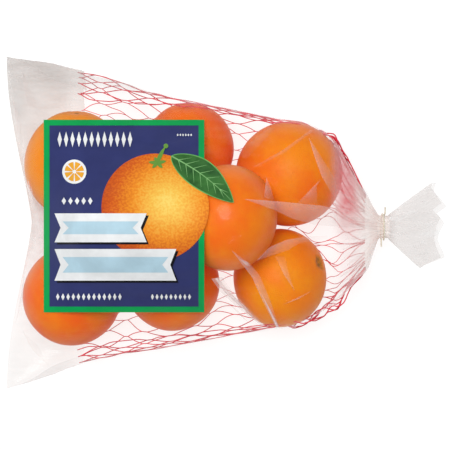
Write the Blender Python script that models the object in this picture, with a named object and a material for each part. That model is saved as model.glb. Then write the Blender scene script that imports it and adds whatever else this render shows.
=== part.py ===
"""A clear film bag of eight navel oranges, closed at its neck with a wire tie.

The bag lies on its back panel with the printed side up. +X runs from the sealed end to the open
tail, +Y across the bag and +Z up. The origin is the centre of the bounding box's underside.
The bag and its fruit are one solid, out to the film: the film is stretched over the oranges, pinched
flat at the seal, gathered into pleats at the neck and fanned out again behind the tie.
"""

import math

import bmesh
import bpy
from mathutils import Vector
from mathutils.bvhtree import BVHTree

# Driving dimensions, in metres.
BAG_LENGTH = 0.347
BAG_WIDTH = 0.262
SEAL_THICKNESS = 0.0012
FILM_GAP = 0.0005

# Each orange: centre x, centre y, height of its centre, and its half sizes along x, y and z.
# Six lie on the floor and two, the crown, sit in the hollows between them.
ORANGES = {
    "sealed_end_far": (-0.1172, 0.0446, 0.0400, (0.0396, 0.0425, 0.0400)),
    "sealed_end_near": (-0.1198, -0.0572, 0.0385, (0.0385, 0.0388, 0.0385)),
    "waist_far": (-0.0289, 0.0570, 0.0362, (0.0353, 0.0366, 0.0362)),
    "waist_near": (-0.0420, -0.0473, 0.0373, (0.0373, 0.0373, 0.0373)),
    "shoulder_far": (0.0490, 0.0408, 0.0388, (0.0418, 0.0381, 0.0388)),
    "shoulder_near": (0.0420, -0.0452, 0.0362, (0.0366, 0.0358, 0.0362)),
    "crown_neck": (0.0010, 0.0035, 0.0860, (0.0378, 0.0402, 0.0385)),
    "crown_seal": (-0.0820, -0.0050, 0.0868, (0.0378, 0.0375, 0.0372)),
}
# Loose film with no fruit in it, which bulges between the last oranges and the neck.
SLACK_BALL = (0.0740, -0.0240, 0.0350, (0.0350, 0.0370, 0.0330))

# The seal is a flat edge whose middle is drawn in by the fruit and whose corners droop.
CORNER_X = -BAG_LENGTH / 2
CORNER_Y = BAG_WIDTH / 2
CORNER_HEIGHT = 0.015
SEAL_MIDDLE_HEIGHT = 0.036
SEAL_DRAW_IN = 0.022
SEAL_CURVE_POWER = 1.3
SEAL_REACH_X = -0.112

# The neck, where the tie holds the film, and the tail behind it.
NECK_X = 0.1235
NECK_Y = -0.0035
NECK_HEIGHT = 0.0240
NECK_RADIUS = 0.0090
NECK_HALF_LENGTH = 0.0036
PLEATS = 14
SHOULDER_X = 0.0600
SHOULDER_PLEAT_DEPTH = 0.0022
NECK_PLEAT_DEPTH = 0.0009
TAIL_HALF_WIDTH = 0.0345
TAIL_HALF_HEIGHT = 0.0110
TAIL_END_HEIGHT = 0.0165
TAIL_PLEAT_DEPTH = 0.0032
TAIL_POINT_DEPTH = 0.0070
TAIL_MOUTH_DEPTH = 0.0100

# The tie is one thin wire. It starts at the near side of the neck, passes under it, up the far side,
# once over the top and under it again, and both of its ends stick out sideways.
WIRE_RADIUS = 0.0006
WIRE_CLEARANCE = 0.0006
WIRE_PITCH = 0.0019
WIRE_TURNS = 1.47
WIRE_START_ANGLE = math.radians(-262)
WIRE_END_LENGTH = 0.0060
WIRE_END_OUTWARD = 1.6
WIRE_STEPS = 44

# How finely the bag is faceted.
RING_POINTS = 72
BODY_STATIONS = 42
TAIL_STATIONS = 7
HULL_SEGMENTS = 28
SMOOTHING_PASSES = 22
FLAT_BELOW = 0.0006


def clear_scene():
    """Removes whatever the scene holds."""
    for old in list(bpy.data.objects):
        bpy.data.objects.remove(old, do_unlink=True)


def plain_material(name, colour, roughness, metallic=0.0):
    """One Principled material with a single colour."""
    material = bpy.data.materials.new(name)
    material.use_nodes = True
    shader = material.node_tree.nodes["Principled BSDF"]
    shader.inputs["Base Color"].default_value = (*colour, 1.0)
    shader.inputs["Roughness"].default_value = roughness
    shader.inputs["Metallic"].default_value = metallic
    return material


def ease(value):
    """0 to 1 with a soft start and a soft end."""
    value = min(1.0, max(0.0, value))
    return value * value * (3 - 2 * value)


def mix(a, b, share):
    return a + (b - a) * share


def ellipsoid_points(centre, half_sizes):
    """Points all over an ellipsoid, its lowest and highest point among them."""
    ball = bmesh.new()
    bmesh.ops.create_uvsphere(ball, u_segments=HULL_SEGMENTS, v_segments=HULL_SEGMENTS // 2, radius=1.0)
    found = [Vector(c + v.co[k] * half_sizes[k] for k, c in enumerate(centre)) for v in ball.verts]
    ball.free()
    return found


def tight_wrap():
    """The convex hull of the fruit, the slack film, the neck and the seal's corners."""
    points = []
    for x, y, height, half_sizes in [*ORANGES.values(), SLACK_BALL]:
        points += ellipsoid_points((x, y, height), half_sizes)
    for step in range(HULL_SEGMENTS):
        angle = math.tau * step / HULL_SEGMENTS
        y = NECK_Y + NECK_RADIUS * math.cos(angle)
        z = NECK_HEIGHT + NECK_RADIUS * math.sin(angle)
        points.append(Vector((NECK_X - NECK_HALF_LENGTH, y, z)))
    for side in (-1, 1):
        for edge in (-0.5, 0.5):
            z = CORNER_HEIGHT + edge * SEAL_THICKNESS
            points.append(Vector((CORNER_X, side * CORNER_Y, z)))
    wrap = bmesh.new()
    for point in points:
        wrap.verts.new(point)
    bmesh.ops.convex_hull(wrap, input=wrap.verts)
    tree = BVHTree.FromBMesh(wrap)
    wrap.free()
    return tree


def section_centre(x):
    """The axis that the sections are drawn round: it drops towards the seal and the neck."""
    to_neck = ease((x - SHOULDER_X) / (NECK_X - SHOULDER_X))
    to_seal = ease((SEAL_REACH_X - x) / (SEAL_REACH_X - CORNER_X))
    height = mix(mix(0.045, CORNER_HEIGHT, to_seal), NECK_HEIGHT, to_neck)
    return Vector((x, mix(0.0, NECK_Y, to_neck), height))


def section_spread(x):
    """How wide a section is for its height, so that its points are spread evenly round it."""
    to_neck = ease((x - SHOULDER_X) / (NECK_X - SHOULDER_X))
    to_seal = ease((SEAL_REACH_X - x) / (SEAL_REACH_X - CORNER_X))
    return mix(mix(1.7, 9.0, to_seal), 1.0, to_neck)


def ring_angle(step):
    return math.tau * (step + 0.5) / RING_POINTS


def wrapped_ring(tree, x):
    """One closed ring of points on the tight wrap, in the plane at x."""
    centre = section_centre(x)
    spread = section_spread(x)
    ring = []
    for step in range(RING_POINTS):
        angle = ring_angle(step)
        way = Vector((0.0, spread * math.cos(angle), math.sin(angle))).normalized()
        hit = tree.ray_cast(centre + way, -way)[0]
        ring.append(hit if hit is not None else centre.copy())
    return ring


def seal_ring():
    """The seal itself: a flat edge, curved in its own plane, with a top and an underside."""
    ring = []
    for step in range(RING_POINTS):
        angle = ring_angle(step)
        share = math.cos(angle)
        out = math.sin(abs(share) * math.pi / 2) ** SEAL_CURVE_POWER
        x = CORNER_X + SEAL_DRAW_IN * (1 - out)
        z = mix(SEAL_MIDDLE_HEIGHT, CORNER_HEIGHT, out)
        side = 0.5 if math.sin(angle) > 0 else -0.5
        ring.append(Vector((x, CORNER_Y * share / math.cos(math.pi / RING_POINTS), z + side * SEAL_THICKNESS)))
    return ring


def draw_in_seal(point):
    """Moves a point near the sealed end with the middle of the seal."""
    share = min(1.0, abs(point.y) / CORNER_Y)
    out = math.sin(share * math.pi / 2) ** SEAL_CURVE_POWER
    near = max(0.0, (SEAL_REACH_X - point.x) / (SEAL_REACH_X - CORNER_X))
    point.x += SEAL_DRAW_IN * (1 - out) * near
    point.z += (SEAL_MIDDLE_HEIGHT - CORNER_HEIGHT) * (1 - out) * near * near
    return point


def body_stations():
    """Places along the bag, closer together near the seal and the neck."""
    first = CORNER_X + 0.003
    last = NECK_X - NECK_HALF_LENGTH
    for step in range(BODY_STATIONS):
        share = step / (BODY_STATIONS - 1)
        bunched = share - 0.09 * math.sin(math.tau * share)
        yield mix(first, last, bunched)


def push_off_fruit(point):
    """Moves a point of the film out of any orange that it lies in."""
    for x, y, height, half_sizes in ORANGES.values():
        centre = Vector((x, y, height))
        clear = [size + FILM_GAP for size in half_sizes]
        away = point - centre
        inside = math.sqrt(sum((away[k] / clear[k]) ** 2 for k in range(3)))
        if 0 < inside < 1:
            point = centre + away / inside
    point.z = max(0.0, point.z)
    return point


def relax(rings):
    """Smooths the film between the fruit, and keeps it outside the fruit and flat on the floor."""
    flat = [[point.z < FLAT_BELOW for point in ring] for ring in rings]
    for _ in range(SMOOTHING_PASSES):
        before = [[point.copy() for point in ring] for ring in rings]
        for i in range(1, len(rings) - 1):
            for j in range(RING_POINTS):
                around = before[i - 1][j] + before[i + 1][j]
                around += before[i][j - 1] + before[i][(j + 1) % RING_POINTS]
                rings[i][j] = push_off_fruit(before[i][j].lerp(around / 4, 0.5))
                if flat[i][j]:
                    rings[i][j].z = 0.0
    return rings


def pleated(point, centre, step, depth):
    """Presses a fold into a ring: depth is how far the valleys lie under the ridges."""
    away = point - centre
    away.x = 0.0
    wave = 0.5 - 0.5 * math.cos(PLEATS * ring_angle(step))
    length = away.length
    if length < 1e-6:
        return point
    return point - away * min(0.5, depth * wave / length)


def neck_ring(x, half_width, half_height, height, pleat_depth):
    """An elliptical ring with pleats, in the plane at x."""
    centre = Vector((x, NECK_Y, height))
    ring = []
    for step in range(RING_POINTS):
        angle = ring_angle(step)
        edge = centre + Vector((0.0, half_width * math.cos(angle), half_height * math.sin(angle)))
        ring.append(pleated(edge, centre, step, pleat_depth))
    return ring


def body_rings():
    """The filled part of the bag, from the seal to the front of the tie."""
    tree = tight_wrap()
    rings = [seal_ring()]
    for x in body_stations():
        ring = [push_off_fruit(draw_in_seal(point)) for point in wrapped_ring(tree, x)]
        rings.append(ring)
    rings = relax(rings)
    for i, x in enumerate(body_stations(), start=1):
        gather = ease((x - SHOULDER_X) / (NECK_X - SHOULDER_X))
        fade = 4 * gather * (1 - gather)
        depth = SHOULDER_PLEAT_DEPTH * fade + NECK_PLEAT_DEPTH * gather
        centre = section_centre(x)
        rings[i] = [pleated(point, centre, j, depth) for j, point in enumerate(rings[i])]
    return rings


def tail_rings():
    """The neck under the tie, and the film that fans out behind it to a zigzag edge."""
    straight = NECK_X + NECK_HALF_LENGTH
    rings = [
        neck_ring(x, NECK_RADIUS, NECK_RADIUS, NECK_HEIGHT, NECK_PLEAT_DEPTH)
        for x in (NECK_X, straight)
    ]
    end = BAG_LENGTH / 2
    for station in range(1, TAIL_STATIONS + 1):
        share = station / TAIL_STATIONS
        half_width = mix(NECK_RADIUS, TAIL_HALF_WIDTH, share)
        half_height = mix(NECK_RADIUS, TAIL_HALF_HEIGHT, share)
        height = mix(NECK_HEIGHT, TAIL_END_HEIGHT, ease(share))
        depth = mix(NECK_PLEAT_DEPTH, TAIL_PLEAT_DEPTH, share)
        ring = neck_ring(straight, half_width, half_height, height, depth)
        for step, point in enumerate(ring):
            point_share = 0.5 - 0.5 * math.cos(PLEATS / 2 * ring_angle(step))
            point.x = mix(straight, end - TAIL_POINT_DEPTH * point_share, share)
        rings.append(ring)
    return rings


def loft(name, rings, mouth_depth):
    """Joins rings into one closed skin: a flat seam at the first, and a sunken mouth at the last."""
    skin = bmesh.new()
    rows = [[skin.verts.new(point) for point in ring] for ring in rings]
    count = RING_POINTS
    for low, high in zip(rows, rows[1:]):
        for j in range(count):
            k = (j + 1) % count
            skin.faces.new((low[j], low[k], high[k], high[j]))
    seam = rows[0]
    for j in range(count // 2 - 1):
        skin.faces.new((seam[j + 1], seam[j], seam[count - 1 - j], seam[count - 2 - j]))
    last = rings[-1]
    middle = sum(last, Vector()) / count
    middle.x -= mouth_depth
    mouth = skin.verts.new(middle)
    for j in range(count):
        skin.faces.new((rows[-1][j], rows[-1][(j + 1) % count], mouth))
    bmesh.ops.triangulate(skin, faces=skin.faces)
    bmesh.ops.recalc_face_normals(skin, faces=skin.faces)
    mesh = bpy.data.meshes.new(name)
    skin.to_mesh(mesh)
    skin.free()
    mesh.shade_smooth()
    return bpy.data.objects.new(name, mesh)


def make_bag(collection):
    bag = loft("bag", body_rings() + tail_rings(), TAIL_MOUTH_DEPTH)
    bag.data.materials.append(plain_material("filled_film", (0.90, 0.42, 0.08), 0.35))
    collection.objects.link(bag)
    return bag


def wire_end(last, before, share):
    """A point on one of the wire's ends, which bends away from the neck as it goes."""
    onward = (last - before).normalized()
    outward = Vector((0.0, last.y, last.z)).normalized()
    way = (onward + outward * WIRE_END_OUTWARD * share).normalized()
    return last + way * WIRE_END_LENGTH * share


def wire_route():
    """The wire's centreline about the neck: an end, the winding, and the other end."""
    reach = NECK_RADIUS + WIRE_CLEARANCE + WIRE_RADIUS
    winding = []
    for step in range(WIRE_STEPS + 1):
        share = step / WIRE_STEPS
        angle = WIRE_START_ANGLE + WIRE_TURNS * math.tau * share
        x = WIRE_PITCH * WIRE_TURNS * (share - 0.5)
        winding.append(Vector((x, -reach * math.sin(angle), reach * math.cos(angle))))
    lead = [wire_end(winding[0], winding[1], share) for share in (1.0, 0.75, 0.5, 0.25)]
    trail = [wire_end(winding[-1], winding[-2], share) for share in (0.25, 0.5, 0.75, 1.0)]
    return lead + winding + trail


def make_tie(collection):
    """The tie's wire, a round tube along its route, on the axis of the neck."""
    curve = bpy.data.curves.new("tie", "CURVE")
    curve.dimensions = "3D"
    curve.bevel_depth = WIRE_RADIUS
    curve.bevel_resolution = 2
    curve.use_fill_caps = True
    route = wire_route()
    spline = curve.splines.new("POLY")
    spline.points.add(len(route) - 1)
    for place, point in zip(spline.points, route):
        place.co = (*point, 1.0)
    tie = bpy.data.objects.new("tie", curve)
    tie.location = (NECK_X, NECK_Y, NECK_HEIGHT)
    tie.data.materials.append(plain_material("tie_wire", (0.86, 0.84, 0.74), 0.4))
    collection.objects.link(tie)
    return tie


def main():
    clear_scene()
    collection = bpy.data.collections.new("bag_of_oranges")
    bpy.context.scene.collection.children.link(collection)
    make_bag(collection)
    make_tie(collection)


main()
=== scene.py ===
"""The looks of a bag of navel oranges: fruit, clear film, red net back, print and tie.

The bag lies on its net back with the printed film up. +X runs from the flat seal to the tail behind
the tie, +Y across the bag and +Z up, in metres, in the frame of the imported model.
"""

import math

import bmesh
import bpy
import numpy as np
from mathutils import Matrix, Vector, noise
from mathutils.bvhtree import BVHTree


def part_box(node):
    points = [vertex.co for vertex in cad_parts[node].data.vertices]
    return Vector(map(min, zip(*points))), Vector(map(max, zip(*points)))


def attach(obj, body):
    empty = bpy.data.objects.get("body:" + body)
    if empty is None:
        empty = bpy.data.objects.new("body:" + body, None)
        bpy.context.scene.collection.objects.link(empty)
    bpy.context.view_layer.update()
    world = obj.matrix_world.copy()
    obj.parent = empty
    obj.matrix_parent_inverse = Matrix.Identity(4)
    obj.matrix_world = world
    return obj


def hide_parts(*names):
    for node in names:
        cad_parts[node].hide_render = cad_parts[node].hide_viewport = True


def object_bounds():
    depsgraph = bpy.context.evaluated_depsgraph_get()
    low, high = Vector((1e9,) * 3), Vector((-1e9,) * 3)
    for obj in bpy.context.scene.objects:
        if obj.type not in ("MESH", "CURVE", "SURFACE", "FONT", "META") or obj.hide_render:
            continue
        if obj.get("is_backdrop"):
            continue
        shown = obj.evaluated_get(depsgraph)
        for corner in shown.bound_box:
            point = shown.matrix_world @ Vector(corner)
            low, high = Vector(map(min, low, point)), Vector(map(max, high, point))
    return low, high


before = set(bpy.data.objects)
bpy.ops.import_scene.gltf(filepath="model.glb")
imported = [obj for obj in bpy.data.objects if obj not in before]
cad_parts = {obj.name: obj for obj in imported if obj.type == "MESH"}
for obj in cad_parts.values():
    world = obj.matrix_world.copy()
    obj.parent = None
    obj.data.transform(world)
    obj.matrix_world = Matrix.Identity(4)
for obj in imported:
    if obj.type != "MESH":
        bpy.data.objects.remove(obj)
CAD_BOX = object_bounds()
BAG_LOW, BAG_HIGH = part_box("bag")

bl_info = {
    "name": "Bag of navel oranges",
    "version": (1, 0, 0),
    "blender": (4, 5, 0),
    "location": "3D Viewport > Sidebar > Orange bag",
    "description": "Fruit, clear film, net back, print and tie of a produce bag",
    "category": "Object",
}

# Each orange: centre, half sizes, the way its stem end points, how ripe its colour is (0 yellow,
# 1 deep orange). Six lie on the floor and two, the crown, sit in the hollows between them.
ORANGES = {
    "sealed_end_far": ((-0.1172, 0.0446, 0.0400), (0.0396, 0.0425, 0.0400), (0.05, 0.98, 0.20), 0.05),
    "sealed_end_near": ((-0.1198, -0.0572, 0.0385), (0.0385, 0.0388, 0.0385), (0.30, 0.30, 0.90), 0.70),
    "waist_far": ((-0.0289, 0.0570, 0.0362), (0.0353, 0.0366, 0.0362), (-0.03, 0.93, 0.37), 0.85),
    "waist_near": ((-0.0420, -0.0473, 0.0373), (0.0373, 0.0373, 0.0373), (-0.50, 0.30, 0.81), 0.65),
    "shoulder_far": ((0.0490, 0.0378, 0.0388), (0.0418, 0.0410, 0.0388), (-0.72, -0.60, 0.35), 0.52),
    "shoulder_near": ((0.0420, -0.0432, 0.0368), (0.0366, 0.0386, 0.0368), (-0.83, -0.33, -0.45), 0.20),
    "crown_neck": ((0.0010, 0.0035, 0.0860), (0.0378, 0.0402, 0.0385), (-0.90, 0.00, 0.43), 0.55),
    "crown_seal": ((-0.0820, -0.0050, 0.0868), (0.0378, 0.0375, 0.0372), (0.60, 0.10, -0.79), 0.50),
}
CENTRES = np.array([centre for centre, *_ in ORANGES.values()])
HALF_SIZES = np.array([half for _, half, *_ in ORANGES.values()])
# Loose film with no fruit in it, which bulges between the last oranges and the neck.
SLACK_BALL = ((0.0740, -0.0240, 0.0350), (0.0350, 0.0370, 0.0330))
# The film's far edge stays straight from the seal's corner to the fruit.
SLACK_EDGE = ((-0.1450, 0.1268, 0.018), (-0.1120, 0.1195, 0.022), (-0.0700, 0.1080, 0.028))

# Peel: the relief's depths are shares of the fruit's radius and its widths are angles in radians.
PEEL_SUBDIVISIONS = 6
LUMP_DEPTH = 0.012
RIPPLE_DEPTH = 0.004
STEM_DIMPLE = 0.045
STEM_DIMPLE_WIDTH = 0.17
STEM_BUTTON_WIDTH = 0.065
STEM_BUTTON_RISE = 0.012
STEM_GROOVES = 9
STEM_GROOVE_DEPTH = 0.006
NAVEL_WIDTH = 0.16
NAVEL_RIM_RISE = 0.010
NAVEL_PIT = 0.050

# The seal: a flat edge whose middle is drawn in by the fruit and whose corners droop.
CORNER_X = BAG_LOW.x
CORNER_Y = BAG_HIGH.y
CORNER_HEIGHT = 0.015
SEAL_THICKNESS = 0.0012
SEAL_MIDDLE_HEIGHT = 0.036
SEAL_DRAW_IN = 0.022
SEAL_CURVE_POWER = 1.3
SEAL_REACH_X = -0.112
FILM_GAP = 0.0007

# The neck, which the tie holds, and the tail that fans out behind it.
NECK_X = 0.1235
NECK_Y = -0.0035
NECK_HEIGHT = 0.0240
NECK_RADIUS = 0.0090
NECK_HALF_LENGTH = 0.0036
SHOULDER_X = 0.0600
NECK_PLEAT_DEPTH = 0.0012
TAIL_HALF_WIDTH = 0.0337
# How far the tail's end lies to the far side of the neck.
TAIL_SHIFT = 0.0013
TAIL_HALF_HEIGHT = 0.0075
TAIL_END_HEIGHT = 0.0165
TAIL_PLEAT_DEPTH = 0.0085
# The tail's cut edge: the place across it, from -1 at its near corner to 1 at its far one, and its x.
TAIL_EDGE = (
    (-1.00, 0.1530), (-0.90, 0.1575), (-0.68, 0.1722), (-0.24, 0.1667), (-0.07, 0.1683), (0.02, 0.1718),
    (0.175, 0.1657), (0.325, 0.1734), (0.57, 0.1675), (0.70, 0.1635), (1.00, 0.1657),
)

RING_POINTS = 240
BODY_STATIONS = 132
TAIL_STATIONS = 36
HULL_SEGMENTS = 40
GATHERS = 19
FOLD_GAP = 0.0003
# The share of light that the film's gloss throws back when seen head on, and how strong the gloss is.
GLOSS_HEAD_ON = 0.012
GLOSS_STRENGTH = 0.6
SMOOTHING_PASSES = 230
FLAT_BELOW = 0.0006

# The net's window in the back panel, from the seal to the neck.
WINDOW_SEAL_X = -0.1130
WINDOW_NECK_X = 0.1080
# How much the film hides where its panels meet at the seal, in the gathered neck, in the tail and over
# the gathered net.
SEAL_HAZE_X = -0.100
SEAL_HAZE_NEAR = 0.16
# the seal's far side hides more than its near side: the double film's own haze, with painted shade that
# makes that side greyer
SEAL_HAZE_AND_SHADE_FAR = 0.54
GATHER_HAZE_X = 0.072
NECK_HAZE = 0.56
TAIL_HAZE = 0.22
ROSE_HAZE = 0.68
# How far the net stands off at the shoulder's two sides at these places, and the film's share of that.
SLACK_X = (0.0400, 0.0570, 0.0650, 0.0730, 0.0810, 0.0885, 0.0960, 0.1040, 0.1115, 0.1190)
NEAR_SLACK = (0.0, 0.0032, 0.0058, 0.0085, 0.0110, 0.0140, 0.0112, 0.0095, 0.0080, 0.0)
FAR_SLACK = (0.0, 0.0, 0.0008, 0.0020, 0.0050, 0.0125, 0.0080, 0.0055, 0.0035, 0.0)
FILM_SLACK = 0.35
# How far round the sides the film and the net reach, and the bunches that the net gathers into.
FILM_EDGE_ANGLE = math.radians(-14)
NET_EDGE_ANGLE = math.radians(9)
BUNCHES = 6
BUNCH_DEPTH = 0.018
# How far the net's loosest loops could stand off at the shoulder.
FAR_LOOPS = 0.0140
NEAR_LOOPS = 0.0200


# ---------------------------------------------------------------- settings


class FruitSettings(bpy.types.PropertyGroup):
    """Colour and finish of the peel."""

    sunny: bpy.props.FloatVectorProperty(
        name="Sunny peel", description="Colour of the yellowest peel", subtype="COLOR",
        size=3, min=0, max=1, default=(1.0, 0.34, 0.005),
    )
    ripe: bpy.props.FloatVectorProperty(
        name="Ripe peel", description="Colour of the deepest peel", subtype="COLOR",
        size=3, min=0, max=1, default=(0.97, 0.125, 0.005),
    )
    scar: bpy.props.FloatVectorProperty(
        name="Scar", description="Colour of stem buttons and navels", subtype="COLOR",
        size=3, min=0, max=1, default=(0.16, 0.085, 0.018),
    )
    roughness: bpy.props.FloatProperty(
        name="Roughness", description="How dull the waxed peel is",
        min=0, max=1, default=0.42, subtype="FACTOR",
    )
    pore_spacing: bpy.props.FloatProperty(
        name="Pore spacing", description="Distance between the oil pores", min=0.0005, max=0.005,
        default=0.0013, unit="LENGTH",
    )
    pore_depth: bpy.props.FloatProperty(
        name="Pore depth", description="Depth of the oil pores", min=0, max=0.001,
        default=0.00018, unit="LENGTH",
    )


class FilmSettings(bpy.types.PropertyGroup):
    """Colour and finish of the clear film."""

    haze: bpy.props.FloatProperty(
        name="Haze", description="Share of what lies behind it that plain film hides", min=0, max=1,
        default=0.005, subtype="FACTOR",
    )
    grey: bpy.props.FloatVectorProperty(
        name="Grey haze", description="Colour of haze where film lies on film", subtype="COLOR",
        size=3, min=0, max=1, default=(0.62, 0.575, 0.55),
    )
    # the white haze also colours the brightest folds, which are painted highlights
    white: bpy.props.FloatVectorProperty(
        name="White haze", description="Colour of haze in folds", subtype="COLOR",
        size=3, min=0, max=1, default=(0.96, 0.78, 0.76),
    )
    rose: bpy.props.FloatVectorProperty(
        name="Rosy haze", description="Colour of haze where the red net is gathered behind the film",
        subtype="COLOR", size=3, min=0, max=1, default=(0.86, 0.13, 0.15),
    )
    pale: bpy.props.FloatVectorProperty(
        name="Pale haze", description="Colour of haze where the film is gathered at the neck",
        subtype="COLOR", size=3, min=0, max=1, default=(0.96, 0.90, 0.85),
    )
    roughness: bpy.props.FloatProperty(
        name="Roughness", description="How blurred the film's reflections are", min=0, max=1,
        default=0.10, subtype="FACTOR",
    )
    crinkle: bpy.props.FloatProperty(
        name="Crinkle", description="Height of the small crinkles in slack film", min=0, max=0.003,
        default=0.0007, unit="LENGTH",
    )
    pleats: bpy.props.IntProperty(
        name="Pleats", description="Number of folds gathered at the neck", min=4, max=40, default=17,
    )
    tail_pleats: bpy.props.IntProperty(
        name="Tail pleats", description="Number of folds in the cut edge of the tail",
        min=2, max=40, default=6,
    )
    pleat_depth: bpy.props.FloatProperty(
        name="Pleat depth", description="Depth of the folds between shoulder and neck", min=0, max=0.01,
        default=0.0032, unit="LENGTH",
    )


class NetSettings(bpy.types.PropertyGroup):
    """Size and colour of the red net."""

    thread: bpy.props.FloatProperty(
        name="Thread", description="Diameter of one thread",
        min=0.0002, max=0.003, default=0.00052, unit="LENGTH",
    )
    strands: bpy.props.IntProperty(
        name="Strands", description="Number of threads side by side across the back",
        min=8, max=90, default=46,
    )
    cell_length: bpy.props.FloatProperty(
        name="Cell length", description="Length of one diamond of the net", min=0.008, max=0.08,
        default=0.035, unit="LENGTH",
    )
    colour: bpy.props.FloatVectorProperty(
        name="Thread colour", description="Colour of the net", subtype="COLOR",
        size=3, min=0, max=1, default=(0.90, 0.030, 0.070),
    )


class PrintSettings(bpy.types.PropertyGroup):
    """Size and colours of the printed panel."""

    width: bpy.props.FloatProperty(
        name="Width", description="Width of the printed panel",
        min=0.02, max=0.2, default=0.1193, unit="LENGTH",
    )
    height: bpy.props.FloatProperty(
        name="Height", description="Height of the printed panel",
        min=0.02, max=0.2, default=0.1431, unit="LENGTH",
    )
    border_width: bpy.props.FloatProperty(
        name="Border", description="Width of the green border",
        min=0.001, max=0.02, default=0.0042, unit="LENGTH",
    )
    border: bpy.props.FloatVectorProperty(
        name="Border colour", description="Colour of the border", subtype="COLOR",
        size=3, min=0, max=1, default=(0.002, 0.40, 0.092),
    )
    field: bpy.props.FloatVectorProperty(
        name="Field colour", description="Colour of the field", subtype="COLOR",
        size=3, min=0, max=1, default=(0.036, 0.045, 0.165),
    )
    pale: bpy.props.FloatVectorProperty(
        name="Band colour", description="Colour of the pale bands", subtype="COLOR",
        size=3, min=0, max=1, default=(0.52, 0.74, 0.86),
    )
    leaf: bpy.props.FloatVectorProperty(
        name="Leaf colour", description="Colour of the printed leaf", subtype="COLOR",
        size=3, min=0, max=1, default=(0.016, 0.068, 0.018),
    )


class StageSettings(bpy.types.PropertyGroup):
    """Camera and light."""

    camera_height: bpy.props.FloatProperty(
        name="Camera height", description="Height of the camera over the floor", min=0.3, max=5,
        default=1.4, unit="LENGTH",
    )
    view_width: bpy.props.FloatProperty(
        name="View width", description="Width of the floor that the camera sees", min=0.1, max=2,
        default=0.360, unit="LENGTH",
    )
    key_power: bpy.props.FloatProperty(
        name="Key light", description="Power of the large light",
        min=0, max=200, default=21.5, unit="POWER",
    )
    fill_power: bpy.props.FloatProperty(
        name="Strip lights", description="Power of each strip light",
        min=0, max=100, default=2.0, unit="POWER",
    )
    surround: bpy.props.FloatProperty(
        name="Surround", description="Brightness of the white surround", min=0, max=5, default=0.28,
    )
    floor_glow: bpy.props.FloatProperty(
        name="Floor glow", description="Light that the white floor gives, like a light table", min=0, max=5,
        default=0.83,
    )


SETTINGS = {
    "orange_fruit": FruitSettings,
    "orange_film": FilmSettings,
    "orange_net": NetSettings,
    "orange_print": PrintSettings,
    "orange_stage": StageSettings,
}


# ---------------------------------------------------------------- shader maths


class Link:
    """An output of a node. Its operators add Math nodes, so that shader maths reads as maths."""

    def __init__(self, shader, socket):
        self.shader = shader
        self.socket = socket

    def maths(self, operation, *values):
        settings = {"operation": operation}
        return self.shader.node("ShaderNodeMath", settings, dict(enumerate(values)))

    def __add__(self, other):
        return self.maths("ADD", self, other)

    def __radd__(self, other):
        return self.maths("ADD", other, self)

    def __sub__(self, other):
        return self.maths("SUBTRACT", self, other)

    def __rsub__(self, other):
        return self.maths("SUBTRACT", other, self)

    def __mul__(self, other):
        return self.maths("MULTIPLY", self, other)

    def __rmul__(self, other):
        return self.maths("MULTIPLY", other, self)

    def __pow__(self, other):
        return self.maths("POWER", self, other)

    def clamped(self):
        """The value kept between 0 and 1."""
        return self.shader.node("ShaderNodeClamp", {}, {"Value": self})

    def between(self, low, high):
        """0 below low, 1 above high, and smooth in between."""
        settings = {"interpolation_type": "SMOOTHSTEP"}
        return self.shader.node("ShaderNodeMapRange", settings, {"Value": self, 1: low, 2: high})


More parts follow.
